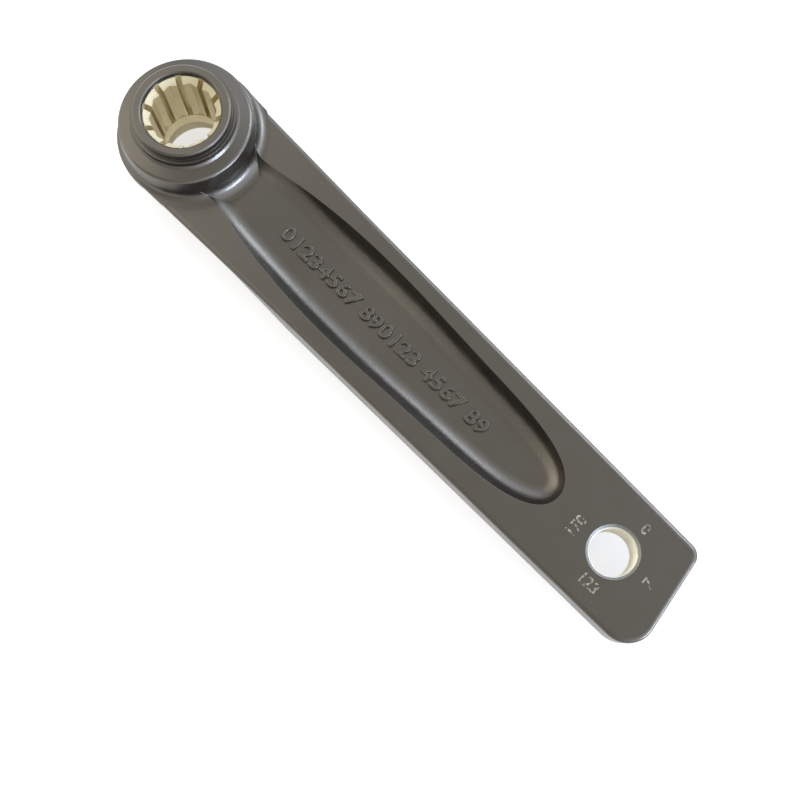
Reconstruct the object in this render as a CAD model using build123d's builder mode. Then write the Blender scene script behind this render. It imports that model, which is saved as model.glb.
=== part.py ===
# Bicycle crank arm, one forged aluminium piece with a splined spindle bore and a threaded pedal eye.
# Millimetres. +X runs from the spindle axis to the pedal axis. +Z points to the bicycle's frame, which
# is the side with the collar and the channel. The origin is on the spindle axis, on the seat of the
# crank bolt, where the spline ends and the extractor thread begins.
from build123d import *
from math import radians, tan
import os

# Lengths along the arm
crank_length = 170.0
end_overhang = 20.2
end_skew_deg = 10.8
near_corner_radius = 4.0
far_corner_radius = 8.0

# Levels, measured from the bolt seat and from the flats
flat_level = 11.0
extractor_depth = 8.0
pedal_thickness = 12.5
root_pad_height = 0.6

# Bar
boss_radius = 21.5
root_inset = 0.15
outer_boss_radius = 16.8
taper_end = 60.0
taper_end_half_width = 19.3
end_half_width = 16.8
side_draft = 0.25
inner_edge_radius = 1.3
outer_edge_radius = 2.0
outer_boss_edge_chamfer = 1.2

# Neck of the boss, between the flats and the annulus
neck_top_radius = 19.2
neck_base_radius = 19.9
neck_flare_radius = 3.4
neck_edge_height = 8.4
neck_edge_radius = 1.0
annulus_rise = 1.0

# Collar on the annulus
collar_base_radius = 15.1
collar_base_chamfer = 0.6
collar_step_height = 2.6
collar_radius = 14.0
collar_height = 5.3
collar_edge_chamfer = 0.45

# Spindle bore
spline_count = 10
spline_tip_apothem = 9.2
spline_valley_radius = 11.25
spline_valley_width = 1.7
spline_taper_deg = 0.5
spline_end_band = 4.4
recess_radius = 11.45
recess_depth = 1.4
recess_chamfer = 0.35
lead_in_radius = 11.0
extractor_radius = 10.5
extractor_chamfer = 0.7

# Pedal eye
pedal_thread_radius = 6.8
pedal_chamfer = 0.7

# Channel in the inner face
channel_start = 14.0
channel_start_half_width = 9.2
channel_shoulder = 52.0
channel_shoulder_half_width = 13.6
channel_late = 120.0
channel_late_half_width = 12.0
channel_tip = 149.4
channel_depth = 5.5
channel_start_depth = 2.0
channel_tip_depth = 3.2
channel_wall_draft_deg = 30.0
channel_floor_fillet = 6.0
core_flare_radius = 5.0
core_flare_sink = 0.05

# Levels and places that follow from the sizes above
outer_boss_level = -extractor_depth
outer_level = flat_level - pedal_thickness
neck_edge_level = flat_level + neck_edge_height
annulus_level = neck_edge_level + annulus_rise
collar_step_level = annulus_level + collar_step_height
collar_top_level = annulus_level + collar_height
recess_level = collar_top_level - recess_depth
end_x = crank_length + end_overhang
skew = tan(radians(end_skew_deg))
# Extra length of a cutting body past the surface that it cuts, and the slack of a level test
margin = 6.0
tiny = 0.001


def bar_section(x, top_half_width, bottom_half_width, bottom_level):
    """Section across the bar, wide at the flats and drafted towards the outer face."""
    with BuildSketch(Plane.YZ.offset(x)) as section:
        with BuildLine():
            Polyline(
                (-top_half_width, flat_level),
                (top_half_width, flat_level),
                (bottom_half_width, bottom_level),
                (-bottom_half_width, bottom_level),
                close=True,
            )
        make_face()
    return section.sketch


def channel_outline(level):
    """Rim of the channel at a level: an S-shaped shoulder, long sides and a blunt tip."""
    widen = (level - flat_level) * tan(radians(channel_wall_draft_deg))
    start = (channel_start, channel_start_half_width + widen)
    shoulder = (channel_shoulder, channel_shoulder_half_width + widen)
    late = (channel_late, channel_late_half_width + widen)
    midway = ((start[0] + shoulder[0]) / 2, (start[1] + shoulder[1]) / 2)
    tip = (channel_tip + widen, 0)
    lean = (channel_late_half_width - channel_shoulder_half_width) / (channel_late - channel_shoulder)
    handle = 0.57 * (tip[0] - late[0])
    with BuildSketch(Plane.XY.offset(level)) as outline:
        with BuildLine():
            Spline(start, midway, shoulder, late, tangents=((1, 0), (1, 1.5 * lean)))
            Bezier(late, (late[0] + handle, late[1] + 1.5 * lean * handle), (tip[0], 0.7 * late[1]), tip)
            mirror(about=Plane.XZ)
            Line(start, (start[0], -start[1]))
        make_face()
    return outline.sketch


def spline_section(level):
    """Section of the toothed bore: ten flat tips, with a slot between each two."""
    shrink = (recess_level - level) * tan(radians(spline_taper_deg))
    with BuildSketch(Plane.XY.offset(level)) as section:
        with PolarLocations(0, spline_count):
            Rectangle(
                spline_valley_radius - shrink,
                spline_valley_width,
                align=(Align.MIN, Align.CENTER),
            )
        RegularPolygon(
            spline_tip_apothem - shrink,
            spline_count,
            major_radius=False,
            rotation=180 / spline_count,
        )
    return section.sketch


# Bar: drafted sides and a sloped outer face near the boss, square sides towards the pedal
spread = (taper_end_half_width - end_half_width) / (end_x - taper_end)
bar_end = end_x + margin
bar_end_half_width = end_half_width - spread * margin
with BuildPart() as bar:
    add(bar_section(0, boss_radius - root_inset, outer_boss_radius, outer_boss_level + root_pad_height))
    add(bar_section(taper_end, taper_end_half_width, taper_end_half_width - side_draft, outer_level))
    add(bar_section(bar_end, bar_end_half_width, bar_end_half_width - side_draft, outer_level))
    loft(ruled=True)
    # Skewed end, longer on the -Y side
    reach = 2 * boss_radius
    with BuildSketch(Plane.XY.offset(outer_boss_level - margin)):
        with BuildLine():
            Polyline(
                (-margin, reach),
                (end_x - skew * reach, reach),
                (end_x + skew * reach, -reach),
                (-margin, -reach),
                close=True,
            )
        make_face()
    extrude(amount=flat_level - outer_boss_level + 2 * margin, mode=Mode.INTERSECT)
    end_face = bar.faces().filter_by(GeomType.PLANE).sort_by(Axis.X)[-1]
    fillet(end_face.edges().sort_by(Axis.Y)[0], far_corner_radius)
    end_face = bar.faces().filter_by(GeomType.PLANE).sort_by(Axis.X)[-1]
    fillet(end_face.edges().sort_by(Axis.Y)[-1], near_corner_radius)
    fillet(bar.faces().sort_by(Axis.Z)[-1].edges().sort_by(Axis.X)[1:], inner_edge_radius)
    outer_faces = bar.faces().filter_by(lambda face: face.normal_at().Z < -0.9)
    outer_edges = outer_faces.edges().filter_by(
        lambda edge: abs(edge.center().Y) > end_half_width / 2 or edge.center().X > taper_end + margin
    )
    fillet(outer_edges, outer_edge_radius)

# Hub: the cone of the boss, from the flats to the outer face
with BuildPart() as hub:
    with BuildSketch(Plane.XZ) as hub_profile:
        with BuildLine():
            Polyline(
                (0, flat_level),
                (boss_radius, flat_level),
                (outer_boss_radius, outer_boss_level),
                (0, outer_boss_level),
                close=True,
            )
        make_face()
        fillet(hub_profile.vertices().sort_by(Axis.X)[-1], inner_edge_radius)
        chamfer(hub_profile.vertices().group_by(Axis.Y)[0].sort_by(Axis.X)[-1], outer_boss_edge_chamfer)
    revolve(axis=Axis.Z)

# Neck and collar: a drafted wall that flares onto the flats, an annulus, a step and a ring
flare_end = neck_base_radius + neck_flare_radius
seat_level = flat_level - inner_edge_radius
with BuildPart() as neck:
    with BuildSketch(Plane.XZ) as neck_profile:
        with BuildLine():
            Polyline(
                (neck_base_radius, flat_level + neck_flare_radius),
                (neck_top_radius, neck_edge_level),
                (collar_base_radius, annulus_level),
                (collar_base_radius, collar_step_level),
                (collar_radius, collar_step_level),
                (collar_radius, collar_top_level),
                (0, collar_top_level),
                (0, seat_level),
                (flare_end, seat_level),
                (flare_end, flat_level),
            )
            Spline(
                (flare_end, flat_level),
                (neck_base_radius, flat_level + neck_flare_radius),
                tangents=((-1, 0), (0, 1)),
            )
        make_face()
        neck_edge = neck_profile.vertices().filter_by(lambda corner: abs(corner.Y - neck_edge_level) < tiny)
        fillet(neck_edge, neck_edge_radius)
        collar_base = neck_profile.vertices().filter_by(lambda corner: abs(corner.Y - annulus_level) < tiny)
        chamfer(collar_base, collar_base_chamfer)
        chamfer(neck_profile.vertices().group_by(Axis.Y)[-1].sort_by(Axis.X)[-1], collar_edge_chamfer)
    revolve(axis=Axis.Z)
    # Plan of the bar, just inside its sides
    with BuildSketch(Plane.XY.offset(outer_boss_level)):
        Circle(boss_radius - root_inset)
        with BuildLine():
            Polyline(
                (0, boss_radius - 2 * root_inset),
                (taper_end, taper_end_half_width - root_inset),
                (taper_end, root_inset - taper_end_half_width),
                (0, 2 * root_inset - boss_radius),
                close=True,
            )
        make_face()
    extrude(amount=collar_top_level - outer_boss_level, mode=Mode.INTERSECT)

# Core: the wall of the neck, which the channel runs up to, and its flare onto the channel's floor
core_flare_end = neck_base_radius + core_flare_radius
core_flare_level = flat_level - channel_start_depth - core_flare_sink
with BuildPart() as core:
    with BuildSketch(Plane.XZ):
        with BuildLine():
            Polyline(
                (neck_base_radius, core_flare_level + core_flare_radius),
                (neck_base_radius, flat_level + neck_flare_radius),
                (neck_top_radius, neck_edge_level),
                (0, neck_edge_level),
                (0, outer_boss_level),
                (core_flare_end, outer_boss_level),
                (core_flare_end, core_flare_level),
            )
            Spline(
                (core_flare_end, core_flare_level),
                (neck_base_radius, core_flare_level + core_flare_radius),
                tangents=((-1, 0), (0, 1)),
            )
        make_face()
    revolve(axis=Axis.Z)

# Channel: drafted walls from the rim, a floor that rises to both ends and a round between them
with BuildPart() as channel:
    add(channel_outline(flat_level + margin))
    add(channel_outline(flat_level - channel_depth - margin / 2))
    loft(ruled=True)
    floor_start = (core_flare_end - tiny, flat_level - channel_start_depth)
    floor_end = (channel_tip + margin, flat_level - channel_tip_depth)
    floor_level = flat_level - channel_depth
    with BuildSketch(Plane.XZ.offset(-2 * channel_shoulder_half_width)):
        with BuildLine():
            Spline(
                floor_start,
                ((floor_start[0] + channel_shoulder) / 2, (floor_start[1] + floor_level) / 2),
                (channel_shoulder, floor_level),
                ((channel_shoulder + channel_late) / 2, floor_level),
                (channel_late, floor_level),
                floor_end,
                tangents=((1, 0), (1, 0.12)),
            )
            Polyline(
                floor_end,
                (floor_end[0], flat_level + 2 * margin),
                (channel_start - margin, flat_level + 2 * margin),
                (channel_start - margin, floor_start[1]),
                floor_start,
            )
        make_face()
    extrude(amount=4 * channel_shoulder_half_width, mode=Mode.INTERSECT)
    floor = channel.faces().sort_by(Axis.Z)[0]
    fillet(floor.edges().sort_by(Axis.X)[1:], channel_floor_fillet)
    add(core.part, mode=Mode.SUBTRACT)

# Spindle bore: the teeth, their lead-in cone, the recess in the collar and the extractor bore
with BuildPart() as spindle_bore:
    add(spline_section(recess_level))
    add(spline_section(spline_end_band))
    loft(ruled=True)
    band_radius = spline_tip_apothem - (recess_level - spline_end_band) * tan(radians(spline_taper_deg))
    with BuildSketch(Plane.XZ):
        with BuildLine():
            Polyline(
                (0, outer_boss_level - margin),
                (extractor_radius + extractor_chamfer + margin, outer_boss_level - margin),
                (extractor_radius, outer_boss_level + extractor_chamfer),
                (extractor_radius, 0),
                (band_radius, 0),
                (band_radius, spline_end_band),
                (band_radius, recess_level - lead_in_radius + band_radius),
                (lead_in_radius, recess_level),
                (recess_radius, recess_level),
                (recess_radius, collar_top_level - recess_chamfer),
                (recess_radius + recess_chamfer + margin, collar_top_level + margin),
                (0, collar_top_level + margin),
                close=True,
            )
        make_face()
    revolve(axis=Axis.Z)

# Pedal eye: a threaded hole with a chamfer on both faces
with BuildPart() as pedal_bore:
    with BuildSketch(Plane.XZ):
        with BuildLine():
            Polyline(
                (crank_length, outer_level - margin),
                (crank_length + pedal_thread_radius + pedal_chamfer + margin, outer_level - margin),
                (crank_length + pedal_thread_radius, outer_level + pedal_chamfer),
                (crank_length + pedal_thread_radius, flat_level - pedal_chamfer),
                (crank_length + pedal_thread_radius + pedal_chamfer + margin, flat_level + margin),
                (crank_length, flat_level + margin),
                close=True,
            )
        make_face()
    revolve(axis=Axis((crank_length, 0, 0), (0, 0, 1)))

with BuildPart() as crank_arm:
    add(bar.part)
    add(hub.part)
    add(neck.part)
    add(channel.part, mode=Mode.SUBTRACT)
    add(spindle_bore.part, mode=Mode.SUBTRACT)
    add(pedal_bore.part, mode=Mode.SUBTRACT)

crank_arm.part.label = "crank_arm"
os.makedirs("parts", exist_ok=True)
export_step(crank_arm.part, "parts/crank_arm.step")
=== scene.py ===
import math

import bpy
from mathutils import Matrix, Vector
from mathutils.bvhtree import BVHTree


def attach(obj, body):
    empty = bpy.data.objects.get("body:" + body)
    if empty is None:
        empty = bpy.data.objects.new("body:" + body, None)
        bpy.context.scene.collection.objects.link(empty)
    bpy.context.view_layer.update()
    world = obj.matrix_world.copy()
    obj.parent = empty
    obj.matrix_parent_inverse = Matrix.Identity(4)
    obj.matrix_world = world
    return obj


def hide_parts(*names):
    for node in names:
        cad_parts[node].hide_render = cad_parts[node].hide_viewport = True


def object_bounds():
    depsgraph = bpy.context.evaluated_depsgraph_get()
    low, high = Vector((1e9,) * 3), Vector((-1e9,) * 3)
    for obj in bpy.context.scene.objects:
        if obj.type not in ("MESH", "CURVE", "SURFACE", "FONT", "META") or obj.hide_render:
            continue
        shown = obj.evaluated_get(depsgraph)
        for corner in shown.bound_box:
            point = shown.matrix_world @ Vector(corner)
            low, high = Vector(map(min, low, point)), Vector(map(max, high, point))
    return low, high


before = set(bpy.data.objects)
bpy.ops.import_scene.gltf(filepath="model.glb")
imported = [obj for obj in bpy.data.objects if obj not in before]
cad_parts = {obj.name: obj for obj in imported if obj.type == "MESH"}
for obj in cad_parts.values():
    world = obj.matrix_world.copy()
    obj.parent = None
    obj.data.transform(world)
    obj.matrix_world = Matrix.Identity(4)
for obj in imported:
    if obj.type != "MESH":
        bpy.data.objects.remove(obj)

bl_info = {
    "name": "Bicycle crank arm",
    "version": (1, 0, 0),
    "blender": (4, 5, 0),
    "location": "3D View > Sidebar > Crank Arm",
    "description": "Dresses a forged crank arm in satin black, with bare machined bores",
    "category": "Object",
}

MM = 0.001
CAD_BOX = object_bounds()
ARM = "crank_arm"
BODY = "root"

# Places on the arm, in millimetres from the crank bolt's seat on the spindle axis
PEDAL_X = 170.0
FLAT_LEVEL = 11.0
OUTER_LEVEL = -1.5
OUTER_BOSS_LEVEL = -8.0
RECESS_LEVEL = 24.3
BORE_REACH = 11.4
MID_BORE_LEVEL = 12.0
PEDAL_RADIUS = 6.8
PEDAL_RIM_RADIUS = 7.5
EXTRACTOR_RADIUS = 10.5
EXTRACTOR_RIM_RADIUS = 11.2
RAISED_START = 39.6
RAISED_END = 122.3
# Stamped numbers: text, place from the pedal axis along and across the arm, turn in degrees
STAMPS = (
    ("170", -12.0, -1.8, 90),
    ("0", 2.0, 10.7, 0),
    ("123", 1.3, -10.7, 0),
    ("7", 12.3, 0.6, 90),
)
# Least agreement of a corner's normal with its face before the face's own normal is used
STRAY_NORMAL = 0.6
# Slack in the tests of where a face lies, in millimetres
RADIUS_SLACK = 0.05
LEVEL_SLACK = 0.02
# Least upward part of the normal of a face that leads into the teeth
LEAD_IN_LIFT = 0.2
# Bare end of a threaded bore, and end of the thread before the bolt's seat, in millimetres
THREAD_INSET = 1.1
THREAD_RUNOUT = 0.6
# Share of a font's size that its numbers take in height
NUMBER_SHARE = 0.7
# Rounding of the raised numbers' edges, and swelling of their strokes, in metres
RAISED_BEVEL = 0.3 * MM
RAISED_SWELL = -0.08 * MM
# Thickness of the stamped numbers, and swelling of their strokes, in metres
STAMPED_DEPTH = 0.03 * MM
STAMPED_SWELL = 0.07 * MM
# Width of the clouds in the skin, distance of its specks and rounding of its edges, in metres
CLOUD = 9 * MM
SPECK_SPACING = 3.2 * MM
SKIN_EDGE = 0.2 * MM
# Widths of the tool marks and stains on bare metal and of the patches of painted glint in the
# stamped numbers
TOOL_MARK = 0.35 * MM
STAIN = 3 * MM
STAMP_GLINT_PATCH = 1.1 * MM
# Half the width of the paper floor, and its gap under the arm, in metres
FLOOR_HALF = 6.0
FLOOR_GAP = 0.0001
# Softboxes: name, place and size in metres, power in watts, colour
SOFTBOXES = (
    ("overhead", (-0.44, -0.14, 0.52), (0.8, 0.6), 1.6, "#fffaf0"),
)
AIM = Vector((0.08, 0.0, 0.01))
# Bright sides of the room: way to the middle, cosines of the edges, strength, colour
BRIGHT_SIDES = (
    ((0.92, 0.2, 0.34), 0.5, 0.95, 1.5, "#d6e4ff"),
    ((0.99, 0.14, -0.02), 0.94, 0.995, 30.0, "#d0e0ff"),
    ((0.0, 1.0, 0.0), 0.22, 0.75, 1.3, "#d6e4ff"),
    ((0.1, 0.88, 0.4), 0.94, 0.99, 6.0, "#dce8ff"),
    ((-0.8, -0.6, 0.15), 0.72, 0.96, 1.2, "#fff2de"),
)


def linear(hex_colour):
    """Linear red, green and blue of an sRGB hex colour."""
    values = [int(hex_colour[i:i + 2], 16) / 255 for i in (1, 3, 5)]
    return [v / 12.92 if v <= 0.04045 else ((v + 0.055) / 1.055) ** 2.4 for v in values]


def add_node(tree, kind, settings=None, inputs=None, links=None):
    """Adds a node to a tree, with its settings, input values and links to its inputs."""
    node = tree.nodes.new(kind)
    for name, value in (settings or {}).items():
        setattr(node, name, value)
    for name, value in (inputs or {}).items():
        node.inputs[name].default_value = value
    for name, socket in (links or {}).items():
        tree.links.new(socket, node.inputs[name])
    return node


def new_material(name):
    """Empty node material and its tree."""
    material = bpy.data.materials.new(name)
    material.use_nodes = True
    material.node_tree.nodes.clear()
    return material, material.node_tree


class CrankFinish(bpy.types.PropertyGroup):
    anodised_colour: bpy.props.FloatVectorProperty(
        name="Anodised colour",
        description="Reflected colour of the satin black anodised skin",
        subtype="COLOR",
        size=3,
        min=0,
        max=1,
        default=linear("#605d57"),
    )
    anodised_roughness: bpy.props.FloatProperty(
        name="Anodised roughness",
        description="Spread of the reflections on the satin skin",
        subtype="FACTOR",
        min=0,
        max=1,
        default=0.3,
    )
    grain: bpy.props.FloatProperty(
        name="Blasted grain",
        description="Width at which the blasted pits are drawn, coarser than real ones",
        unit="LENGTH",
        default=0.4 * MM,
    )
    machined_colour: bpy.props.FloatVectorProperty(
        name="Machined colour",
        description="Reflected colour of the bare aluminium in the bores",
        subtype="COLOR",
        size=3,
        min=0,
        max=1,
        default=linear("#e8ddba"),
    )
    turned_colour: bpy.props.FloatVectorProperty(
        name="Turned colour",
        description="Reflected colour of the bare aluminium in the threaded bores",
        subtype="COLOR",
        size=3,
        min=0,
        max=1,
        default=linear("#ece8da"),
    )
    machined_roughness: bpy.props.FloatProperty(
        name="Machined roughness",
        description="Spread of the reflections on the bare aluminium",
        subtype="FACTOR",
        min=0,
        max=1,
        default=0.55,
    )
    lead_in_colour: bpy.props.FloatVectorProperty(
        name="Lead-in colour",
        description="Reflected colour of the chamfers that lead into the teeth",
        subtype="COLOR",
        size=3,
        min=0,
        max=1,
        default=linear("#dfd8be"),
    )
    lead_in_roughness: bpy.props.FloatProperty(
        name="Lead-in roughness",
        description="Spread of the reflections on the chamfers that lead into the teeth",
        subtype="FACTOR",
        min=0,
        max=1,
        default=0.85,
    )
    # Painted shade: the bevelled rims of the pedal eye get a darker grey copy of the bare
    # aluminium, which holds down the lamps' glare on them.
    rim_painted_shade_colour: bpy.props.FloatVectorProperty(
        name="Rim colour",
        description="Reflected colour of the bevelled rims of the pedal eye",
        subtype="COLOR",
        size=3,
        min=0,
        max=1,
        default=linear("#8c8e8c"),
    )


class CrankThreads(bpy.types.PropertyGroup):
    pedal_pitch: bpy.props.FloatProperty(
        name="Pedal thread pitch",
        description="Turn spacing of the 9/16 inch thread, 20 to the inch",
        unit="LENGTH",
        default=1.27 * MM,
    )
    extractor_pitch: bpy.props.FloatProperty(
        name="Extractor thread pitch",
        description="Turn spacing of the M22 fine thread",
        unit="LENGTH",
        default=1.0 * MM,
    )
    height: bpy.props.FloatProperty(
        name="Ridge height",
        description="How far a thread ridge stands in from the wall",
        unit="LENGTH",
        default=0.33 * MM,
    )


class CrankNumbers(bpy.types.PropertyGroup):
    raised_text: bpy.props.StringProperty(
        name="Raised row",
        description="Plain numbers raised on the floor of the channel",
        default="01234567 890123 4567 89",
    )
    raised_height: bpy.props.FloatProperty(
        name="Raised height",
        description="Height of the raised numbers across the arm",
        unit="LENGTH",
        default=5.0 * MM,
    )
    raised_rise: bpy.props.FloatProperty(
        name="Raised rise",
        description="How far the numbers stand up from the floor of the channel",
        unit="LENGTH",
        default=0.85 * MM,
    )
    stamped_height: bpy.props.FloatProperty(
        name="Stamped height",
        description="Height of the numbers stamped around the pedal eye",
        unit="LENGTH",
        default=3.2 * MM,
    )


class CrankStage(bpy.types.PropertyGroup):
    camera_place: bpy.props.FloatVectorProperty(
        name="Camera place",
        description="Where the camera stands",
        subtype="TRANSLATION",
        size=3,
        default=(149.1 * MM, -58.9 * MM, 317.8 * MM),
    )
    camera_target: bpy.props.FloatVectorProperty(
        name="Camera target",
        description="Point of the arm in the middle of the picture",
        subtype="TRANSLATION",
        size=3,
        default=(100.0 * MM, -11.9 * MM, 11.0 * MM),
    )
    camera_roll: bpy.props.FloatProperty(
        name="Camera roll",
        description="Turn of the camera about its own line of sight",
        subtype="ANGLE",
        default=math.radians(-0.5),
    )
    lens: bpy.props.FloatProperty(
        name="Lens",
        description="Focal length on a sensor 36 mm wide",
        default=51.08,
    )


def anodised_aluminium(finish):
    # Blasted, dyed black and sealed aluminium: a dim warm mirror broken up by a satin grain.
    # Blasted pits are about 0.1 mm wide or less, so the grain is drawn coarser, to show at all.
    material, tree = new_material("satin_black_anodised_aluminium")
    place = add_node(tree, "ShaderNodeTexCoord")
    grain = add_node(
        tree,
        "ShaderNodeTexNoise",
        inputs={"Scale": 1 / finish.grain, "Detail": 2.0, "Roughness": 0.6},
        links={"Vector": place.outputs["Object"]},
    )
    cloud = add_node(
        tree,
        "ShaderNodeTexNoise",
        inputs={"Scale": 1 / CLOUD, "Detail": 3.0, "Roughness": 0.55},
        links={"Vector": place.outputs["Object"]},
    )
    roughness = add_node(
        tree,
        "ShaderNodeMapRange",
        inputs={
            "From Min": 0.3,
            "From Max": 0.7,
            "To Min": finish.anodised_roughness - 0.03,
            "To Max": finish.anodised_roughness + 0.04,
        },
        links={"Value": cloud.outputs["Fac"]},
    )
    specks = add_node(
        tree,
        "ShaderNodeTexVoronoi",
        inputs={"Scale": 1 / SPECK_SPACING, "Randomness": 1.0},
        links={"Vector": place.outputs["Object"]},
    )
    speck = add_node(
        tree,
        "ShaderNodeMapRange",
        inputs={"From Min": 0.02, "From Max": 0.035, "To Min": 0.5, "To Max": 0.0},
        links={"Value": specks.outputs["Distance"]},
    )
    full_dye = finish.anodised_colour
    weak_dye = [0.92 * c for c in full_dye]
    dye = add_node(
        tree,
        "ShaderNodeMix",
        settings={"data_type": "RGBA"},
        inputs={6: (*full_dye, 1), 7: (*weak_dye, 1)},
        links={0: cloud.outputs["Fac"]},
    )
    colour = add_node(
        tree,
        "ShaderNodeMix",
        settings={"data_type": "RGBA"},
        inputs={7: (*linear("#b9b4a8"), 1)},
        links={0: speck.outputs["Result"], 6: dye.outputs[2]},
    )
    edge = add_node(
        tree,
        "ShaderNodeBevel",
        settings={"samples": 6},
        inputs={"Radius": SKIN_EDGE},
    )
    bump = add_node(
        tree,
        "ShaderNodeBump",
        inputs={"Strength": 0.7, "Distance": 0.05 * MM},
        links={"Height": grain.outputs["Fac"], "Normal": edge.outputs["Normal"]},
    )
    shader = add_node(
        tree,
        "ShaderNodeBsdfPrincipled",
        inputs={"Metallic": 1.0},
        links={
            "Base Color": colour.outputs[2],
            "Roughness": roughness.outputs["Result"],
            "Normal": bump.outputs["Normal"],
        },
    )
    add_node(tree, "ShaderNodeOutputMaterial", links={"Surface": shader.outputs["BSDF"]})
    return material


def machined_aluminium(name, base, spread, streak_scale):
    # Bare cut aluminium: a bright warm metal with tool marks across the cut.
    # Tool marks are about 0.1 mm wide or less, so they are drawn coarser, to show at all.
    material, tree = new_material(name)
    place = add_node(tree, "ShaderNodeTexCoord")
    stretch = add_node(
        tree,
        "ShaderNodeMapping",
        inputs={"Scale": streak_scale},
        links={"Vector": place.outputs["Object"]},
    )
    marks = add_node(
        tree,
        "ShaderNodeTexNoise",
        inputs={"Scale": 1 / TOOL_MARK, "Detail": 2.0, "Roughness": 0.6},
        links={"Vector": stretch.outputs["Vector"]},
    )
    stain = add_node(
        tree,
        "ShaderNodeTexNoise",
        inputs={"Scale": 1 / STAIN, "Detail": 3.0, "Roughness": 0.6},
        links={"Vector": place.outputs["Object"]},
    )
    colour = add_node(
        tree,
        "ShaderNodeMix",
        settings={"data_type": "RGBA"},
        inputs={6: (*base, 1), 7: (*[0.84 * c for c in base], 1)},
        links={0: stain.outputs["Fac"]},
    )
    roughness = add_node(
        tree,
        "ShaderNodeMapRange",
        inputs={
            "From Min": 0.3,
            "From Max": 0.7,
            "To Min": spread - 0.06,
            "To Max": spread + 0.1,
        },
        links={"Value": marks.outputs["Fac"]},
    )
    bump = add_node(
        tree,
        "ShaderNodeBump",
        inputs={"Strength": 0.25, "Distance": 0.03 * MM},
        links={"Height": marks.outputs["Fac"]},
    )
    shader = add_node(
        tree,
        "ShaderNodeBsdfPrincipled",
        inputs={"Metallic": 1.0},
        links={
            "Base Color": colour.outputs[2],
            "Roughness": roughness.outputs["Result"],
            "Normal": bump.outputs["Normal"],
        },
    )
    add_node(tree, "ShaderNodeOutputMaterial", links={"Surface": shader.outputs["BSDF"]})
    return material


def stamped_painted_glint():
    # Struck marks: the flat bottoms of the strokes carry a painted glint, patches of pale grey
    # on the skin's dark grey, paler than the satin skin around them.
    material, tree = new_material("struck_aluminium_painted_glint")
    place = add_node(tree, "ShaderNodeTexCoord")
    glint_patches = add_node(
        tree,
        "ShaderNodeTexNoise",
        inputs={"Scale": 1 / STAMP_GLINT_PATCH, "Detail": 2.0, "Roughness": 0.6},
        links={"Vector": place.outputs["Object"]},
    )
    level = add_node(
        tree,
        "ShaderNodeMapRange",
        inputs={"From Min": 0.42, "From Max": 0.6},
        links={"Value": glint_patches.outputs["Fac"]},
    )
    # Painted glint: noise patches mix the strokes from the skin's dark grey to a pale grey.
    colour = add_node(
        tree,
        "ShaderNodeMix",
        settings={"data_type": "RGBA"},
        inputs={6: (*linear("#55524d"), 1), 7: (*linear("#b4b1aa"), 1)},
        links={0: level.outputs["Result"]},
    )
    shader = add_node(
        tree,
        "ShaderNodeBsdfPrincipled",
        inputs={"Metallic": 1.0, "Roughness": 0.3},
        links={"Base Color": colour.outputs[2]},
    )
    add_node(tree, "ShaderNodeOutputMaterial", links={"Surface": shader.outputs["BSDF"]})
    return material


def finish_zone(face):
    """Index of a face's material among those of the arm, by where the face lies."""
    skin, teeth, turned, eye_rim, lead_in = range(5)
    x, y, z = face.center / MM
    from_spindle = math.hypot(x, y)
    from_pedal = math.hypot(x - PEDAL_X, y)
    if from_pedal < PEDAL_RIM_RADIUS + RADIUS_SLACK:
        return turned if from_pedal < PEDAL_RADIUS + RADIUS_SLACK else eye_rim
    if from_spindle < EXTRACTOR_RIM_RADIUS + RADIUS_SLACK and z < RADIUS_SLACK:
        return turned
    if from_spindle < BORE_REACH and z < RECESS_LEVEL - LEVEL_SLACK:
        return lead_in if face.normal.z > LEAD_IN_LIFT and z > MID_BORE_LEVEL else teeth
    return skin


class CRANK_OT_arm(bpy.types.Operator):
    """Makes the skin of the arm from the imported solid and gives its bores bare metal"""

    bl_idname = "crank.arm"
    bl_label = "Forged arm"

    def execute(self, context):
        finish = context.scene.crank_finish
        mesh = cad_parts[ARM].data.copy()
        mesh.name = "forged_arm"
        mesh.materials.clear()
        mesh.materials.append(anodised_aluminium(finish))
        cut = finish.machined_roughness
        dull = finish.lead_in_roughness
        for name, base, spread, streaks in (
            ("broached_aluminium", finish.machined_colour, cut, (1.0, 1.0, 0.06)),
            ("turned_aluminium", finish.turned_colour, cut, (0.15, 0.15, 1.6)),
            # Painted shade: the eye's bevelled rims take the darker rim colour in place of the
            # turned colour.
            ("bevelled_aluminium_painted_shade", finish.rim_painted_shade_colour, cut, (0.5, 0.5, 1.0)),
            ("dulled_aluminium", finish.lead_in_colour, dull, (1.0, 1.0, 1.0)),
        ):
            mesh.materials.append(machined_aluminium(name, base, spread, streaks))
        normals = []
        for face in mesh.polygons:
            face.material_index = finish_zone(face)
            for corner in face.loop_indices:
                normal = mesh.corner_normals[corner].vector
                stray = normal.dot(face.normal) <= STRAY_NORMAL
                normals.append(face.normal if stray else normal)
        mesh.normals_split_custom_set(normals)
        arm = bpy.data.objects.new("forged_arm", mesh)
        context.scene.collection.objects.link(arm)
        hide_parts(ARM)
        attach(arm, BODY)
        return {"FINISHED"}


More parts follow.
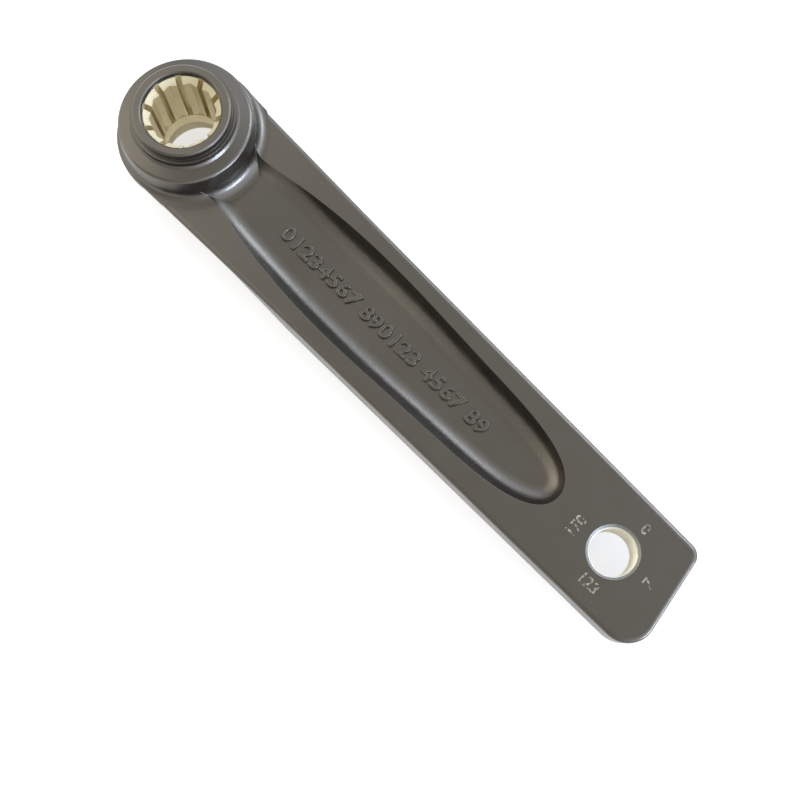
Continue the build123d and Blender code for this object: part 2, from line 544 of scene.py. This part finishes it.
def thread_tree():
    """Thread ridge: a four-sided profile swept along a helix, with its material set last."""
    tree = bpy.data.node_groups.new("thread_ridge", "GeometryNodeTree")
    face = tree.interface
    for name, kind in (
        ("Radius", "NodeSocketFloat"),
        ("Pitch", "NodeSocketFloat"),
        ("Length", "NodeSocketFloat"),
        ("Ridge", "NodeSocketFloat"),
        ("Left Hand", "NodeSocketBool"),
        ("Place", "NodeSocketVector"),
        ("Finish", "NodeSocketMaterial"),
    ):
        face.new_socket(name, in_out="INPUT", socket_type=kind)
    face.new_socket("Geometry", in_out="OUTPUT", socket_type="NodeSocketGeometry")
    given = tree.nodes.new("NodeGroupInput").outputs
    turns = add_node(tree, "ShaderNodeMath", settings={"operation": "DIVIDE"})
    tree.links.new(given["Length"], turns.inputs[0])
    tree.links.new(given["Pitch"], turns.inputs[1])
    helix = add_node(
        tree,
        "GeometryNodeCurveSpiral",
        inputs={"Resolution": 48},
        links={
            "Rotations": turns.outputs[0],
            "Start Radius": given["Radius"],
            "End Radius": given["Radius"],
            "Height": given["Length"],
            "Reverse": given["Left Hand"],
        },
    )
    upright = add_node(
        tree,
        "GeometryNodeSetCurveNormal",
        settings={"mode": "Z_UP"},
        links={"Curve": helix.outputs["Curve"]},
    )
    profile = add_node(
        tree,
        "GeometryNodeCurvePrimitiveCircle",
        inputs={"Resolution": 4},
        links={"Radius": given["Ridge"]},
    )
    ridge = add_node(
        tree,
        "GeometryNodeCurveToMesh",
        inputs={"Fill Caps": True},
        links={"Curve": upright.outputs["Curve"], "Profile Curve": profile.outputs["Curve"]},
    )
    flat = add_node(
        tree,
        "GeometryNodeSetShadeSmooth",
        inputs={"Shade Smooth": False},
        links={"Geometry": ridge.outputs["Mesh"]},
    )
    placed = add_node(
        tree,
        "GeometryNodeTransform",
        links={"Geometry": flat.outputs["Geometry"], "Translation": given["Place"]},
    )
    whole = add_node(
        tree,
        "GeometryNodeRealizeInstances",
        links={"Geometry": placed.outputs["Geometry"]},
    )
    finished = add_node(
        tree,
        "GeometryNodeSetMaterial",
        links={"Geometry": whole.outputs["Geometry"], "Material": given["Finish"]},
    )
    add_node(tree, "NodeGroupOutput", links={"Geometry": finished.outputs["Geometry"]})
    return tree


def cut_thread(context, name, radius, pitch, place, length, left_hand):
    """Winds a thread ridge into a bore whose wall has the given radius."""
    tree = bpy.data.node_groups.get("thread_ridge") or thread_tree()
    depth = context.scene.crank_threads.height
    ridge = 0.5 * pitch
    values = {
        "Radius": radius + ridge - depth,
        "Pitch": pitch,
        "Length": length,
        "Ridge": ridge,
        "Left Hand": left_hand,
        "Place": place,
        "Finish": bpy.data.materials["turned_aluminium"],
    }
    carrier = bpy.data.objects.new(name + "_carrier", bpy.data.meshes.new(name + "_carrier"))
    context.scene.collection.objects.link(carrier)
    winding = carrier.modifiers.new("winding", "NODES")
    winding.node_group = tree
    for item in tree.interface.items_tree:
        if item.in_out == "INPUT":
            winding[item.identifier] = values[item.name]
    wound = carrier.evaluated_get(context.evaluated_depsgraph_get())
    mesh = bpy.data.meshes.new_from_object(wound)
    bpy.data.objects.remove(carrier)
    mesh.name = name
    thread = bpy.data.objects.new(name, mesh)
    context.scene.collection.objects.link(thread)
    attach(thread, BODY)


class CRANK_OT_threads(bpy.types.Operator):
    """Winds the pedal thread and the extractor thread into their bores"""

    bl_idname = "crank.threads"
    bl_label = "Threads"

    def execute(self, context):
        threads = context.scene.crank_threads
        inset = THREAD_INSET * MM
        bottom = OUTER_LEVEL * MM + inset
        length = (FLAT_LEVEL - OUTER_LEVEL) * MM - 2 * inset
        place = (PEDAL_X * MM, 0, bottom)
        radius = PEDAL_RADIUS * MM
        cut_thread(context, "pedal_thread", radius, threads.pedal_pitch, place, length, True)
        bottom = OUTER_BOSS_LEVEL * MM + inset
        length = -OUTER_BOSS_LEVEL * MM - inset - THREAD_RUNOUT * MM
        place = (0, 0, bottom)
        radius = EXTRACTOR_RADIUS * MM
        pitch = threads.extractor_pitch
        cut_thread(context, "extractor_thread", radius, pitch, place, length, False)
        return {"FINISHED"}


def number_mesh(context, name, text, length, height, depth, bevel, swell):
    """Block of numbers about the origin, of the given size and swelling of its strokes."""
    curve = bpy.data.curves.new(name, "FONT")
    curve.body = text
    curve.align_x = "CENTER"
    curve.size = height / NUMBER_SHARE
    curve.extrude = depth / 2 - bevel
    curve.bevel_depth = bevel
    curve.resolution_u = 3
    curve.offset = swell
    writing = bpy.data.objects.new(name, curve)
    context.scene.collection.objects.link(writing)
    written = writing.evaluated_get(context.evaluated_depsgraph_get())
    mesh = bpy.data.meshes.new_from_object(written)
    bpy.data.objects.remove(writing)
    bpy.data.curves.remove(curve)
    mesh.name = name
    low = [min(v.co[axis] for v in mesh.vertices) for axis in range(3)]
    high = [max(v.co[axis] for v in mesh.vertices) for axis in range(3)]
    middle = Vector([(a + b) / 2 for a, b in zip(low, high)])
    stretch = [height / (high[1] - low[1])] * 2 + [1]
    if length:
        stretch[0] = length / (high[0] - low[0])
    mesh.transform(Matrix.Diagonal((*stretch, 1)) @ Matrix.Translation(-middle))
    return mesh


def show_numbers(context, mesh, material):
    mesh.materials.clear()
    mesh.materials.append(material)
    numbers = bpy.data.objects.new(mesh.name, mesh)
    context.scene.collection.objects.link(numbers)
    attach(numbers, BODY)


class CRANK_OT_raised_numbers(bpy.types.Operator):
    """Forges a row of plain numbers onto the floor of the channel"""

    bl_idname = "crank.raised_numbers"
    bl_label = "Raised numbers"

    def execute(self, context):
        numbers = context.scene.crank_numbers
        length = (RAISED_END - RAISED_START) * MM
        depth = 2 * numbers.raised_rise
        mesh = number_mesh(
            context,
            "raised_numbers",
            numbers.raised_text,
            length,
            numbers.raised_height,
            depth,
            RAISED_BEVEL,
            RAISED_SWELL,
        )
        mesh.transform(Matrix.Translation(((RAISED_START + RAISED_END) / 2 * MM, 0, 0)))
        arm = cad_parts[ARM].data
        points = [vertex.co for vertex in arm.vertices]
        floor = BVHTree.FromPolygons(points, [face.vertices for face in arm.polygons])
        down = Vector((0, 0, -1))
        for vertex in mesh.vertices:
            above = Vector((vertex.co.x, vertex.co.y, 0.1))
            vertex.co.z += floor.ray_cast(above, down)[0].z
        show_numbers(context, mesh, bpy.data.materials["satin_black_anodised_aluminium"])
        return {"FINISHED"}


class CRANK_OT_stamped_numbers(bpy.types.Operator):
    """Marks plain numbers on the flat around the pedal eye"""

    bl_idname = "crank.stamped_numbers"
    bl_label = "Stamped numbers"

    def execute(self, context):
        numbers = context.scene.crank_numbers
        finish = stamped_painted_glint()
        for index, (text, x, y, turn) in enumerate(STAMPS):
            mesh = number_mesh(
                context,
                f"stamped_numbers_{index}",
                text,
                None,
                numbers.stamped_height,
                STAMPED_DEPTH,
                0,
                STAMPED_SWELL,
            )
            place = Matrix.Translation(((PEDAL_X + x) * MM, y * MM, FLAT_LEVEL * MM))
            mesh.transform(place @ Matrix.Rotation(math.radians(turn), 4, "Z"))
            show_numbers(context, mesh, finish)
        return {"FINISHED"}


class CRANK_OT_stage(bpy.types.Operator):
    """Lays the pale floor, sets the soft lights and places the camera"""

    bl_idname = "crank.stage"
    bl_label = "Floor, lights and camera"

    def execute(self, context):
        scene = context.scene
        scene.view_settings.view_transform = "Standard"
        lay_floor(scene)
        light_world(scene)
        for name, place, size, energy, colour in SOFTBOXES:
            hang_softbox(scene, name, place, size, energy, colour)
        place_camera(scene)
        return {"FINISHED"}


def lay_floor(scene):
    # White paper: matt and even, with a glow of its own, so that it renders white.
    material, tree = new_material("white_paper")
    matt = add_node(tree, "ShaderNodeBsdfDiffuse", inputs={"Color": (*linear("#b4b4b4"), 1)})
    white = {"Color": (1, 1, 1, 1), "Strength": 0.6}
    glow = add_node(tree, "ShaderNodeEmission", inputs=white)
    parts = {0: matt.outputs["BSDF"], 1: glow.outputs["Emission"]}
    both = add_node(tree, "ShaderNodeAddShader", links=parts)
    add_node(tree, "ShaderNodeOutputMaterial", links={"Surface": both.outputs["Shader"]})
    level = CAD_BOX[0][2] - FLOOR_GAP
    mesh = bpy.data.meshes.new("paper_floor")
    turns = ((-1, -1), (1, -1), (1, 1), (-1, 1))
    corners = [(x * FLOOR_HALF, y * FLOOR_HALF, level) for x, y in turns]
    mesh.from_pydata(corners, [], [(0, 1, 2, 3)])
    mesh.materials.append(material)
    floor = bpy.data.objects.new("paper_floor", mesh)
    scene.collection.objects.link(floor)


def light_world(scene):
    # Soft room light, dimmer towards -Y, with the bright sides of the room added to it.
    world = bpy.data.worlds.new("studio")
    scene.world = world
    world.use_nodes = True
    tree = world.node_tree
    tree.nodes.clear()
    way = add_node(tree, "ShaderNodeTexCoord").outputs["Generated"]
    axes = add_node(tree, "ShaderNodeSeparateXYZ", links={"Vector": way})
    shade = add_node(
        tree,
        "ShaderNodeMapRange",
        settings={"interpolation_type": "SMOOTHSTEP"},
        inputs={"From Min": -1.0, "From Max": -0.75, "To Min": 0.65, "To Max": 0.9},
        links={"Value": axes.outputs["Y"]},
    )
    sky = add_node(
        tree,
        "ShaderNodeBackground",
        inputs={"Color": (*linear("#fffcf6"), 1)},
        links={"Strength": shade.outputs["Result"]},
    )
    total = sky.outputs["Background"]
    for side, outer, inner, strength, colour in BRIGHT_SIDES:
        facing = add_node(
            tree,
            "ShaderNodeVectorMath",
            settings={"operation": "DOT_PRODUCT"},
            inputs={1: Vector(side).normalized()},
            links={0: way},
        )
        level = add_node(
            tree,
            "ShaderNodeMapRange",
            settings={"interpolation_type": "SMOOTHSTEP"},
            inputs={"From Min": outer, "From Max": inner, "To Min": 0.0, "To Max": strength},
            links={"Value": facing.outputs["Value"]},
        )
        light = add_node(
            tree,
            "ShaderNodeBackground",
            inputs={"Color": (*linear(colour), 1)},
            links={"Strength": level.outputs["Result"]},
        )
        parts = {0: total, 1: light.outputs["Background"]}
        total = add_node(tree, "ShaderNodeAddShader", links=parts).outputs["Shader"]
    add_node(tree, "ShaderNodeOutputWorld", links={"Surface": total})


def hang_softbox(scene, name, place, size, energy, colour):
    light = bpy.data.lights.new(name, "AREA")
    light.shape = "RECTANGLE"
    light.size, light.size_y = size
    light.energy = energy
    light.color = linear(colour)
    box = bpy.data.objects.new(name, light)
    place = Vector(place)
    turn = (AIM - place).to_track_quat("-Z", "Y")
    box.matrix_world = Matrix.LocRotScale(place, turn, None)
    scene.collection.objects.link(box)


def place_camera(scene):
    stage = scene.crank_stage
    lens = bpy.data.cameras.new("camera")
    lens.lens = stage.lens
    lens.sensor_width = 36.0
    lens.clip_start = 0.01
    camera = bpy.data.objects.new("camera", lens)
    place = Vector(stage.camera_place)
    sight = (Vector(stage.camera_target) - place).to_track_quat("-Z", "Y")
    roll = Matrix.Rotation(stage.camera_roll, 4, "Z")
    camera.matrix_world = Matrix.LocRotScale(place, sight, None) @ roll
    scene.collection.objects.link(camera)
    scene.camera = camera


class CRANK_PT_panel(bpy.types.Panel):
    bl_label = "Crank Arm"
    bl_idname = "CRANK_PT_panel"
    bl_space_type = "VIEW_3D"
    bl_region_type = "UI"
    bl_category = "Crank Arm"

    def draw(self, context):
        for settings in SETTINGS:
            group = getattr(context.scene, settings)
            box = self.layout.box()
            for name in group.bl_rna.properties.keys():
                if name not in ("rna_type", "name"):
                    box.prop(group, name)
        for operator in OPERATORS:
            self.layout.operator(operator.bl_idname)


SETTINGS = {
    "crank_finish": CrankFinish,
    "crank_threads": CrankThreads,
    "crank_numbers": CrankNumbers,
    "crank_stage": CrankStage,
}
OPERATORS = (
    CRANK_OT_arm,
    CRANK_OT_threads,
    CRANK_OT_raised_numbers,
    CRANK_OT_stamped_numbers,
    CRANK_OT_stage,
)


def register():
    for kind in (*SETTINGS.values(), *OPERATORS, CRANK_PT_panel):
        bpy.utils.register_class(kind)
    for name, group in SETTINGS.items():
        setattr(bpy.types.Scene, name, bpy.props.PointerProperty(type=group))


def unregister():
    for name in SETTINGS:
        delattr(bpy.types.Scene, name)
    for kind in reversed((*SETTINGS.values(), *OPERATORS, CRANK_PT_panel)):
        bpy.utils.unregister_class(kind)


def main():
    register()
    bpy.ops.crank.arm()
    bpy.ops.crank.threads()
    bpy.ops.crank.raised_numbers()
    bpy.ops.crank.stamped_numbers()
    bpy.ops.crank.stage()


if __name__ == "__main__":
    main()
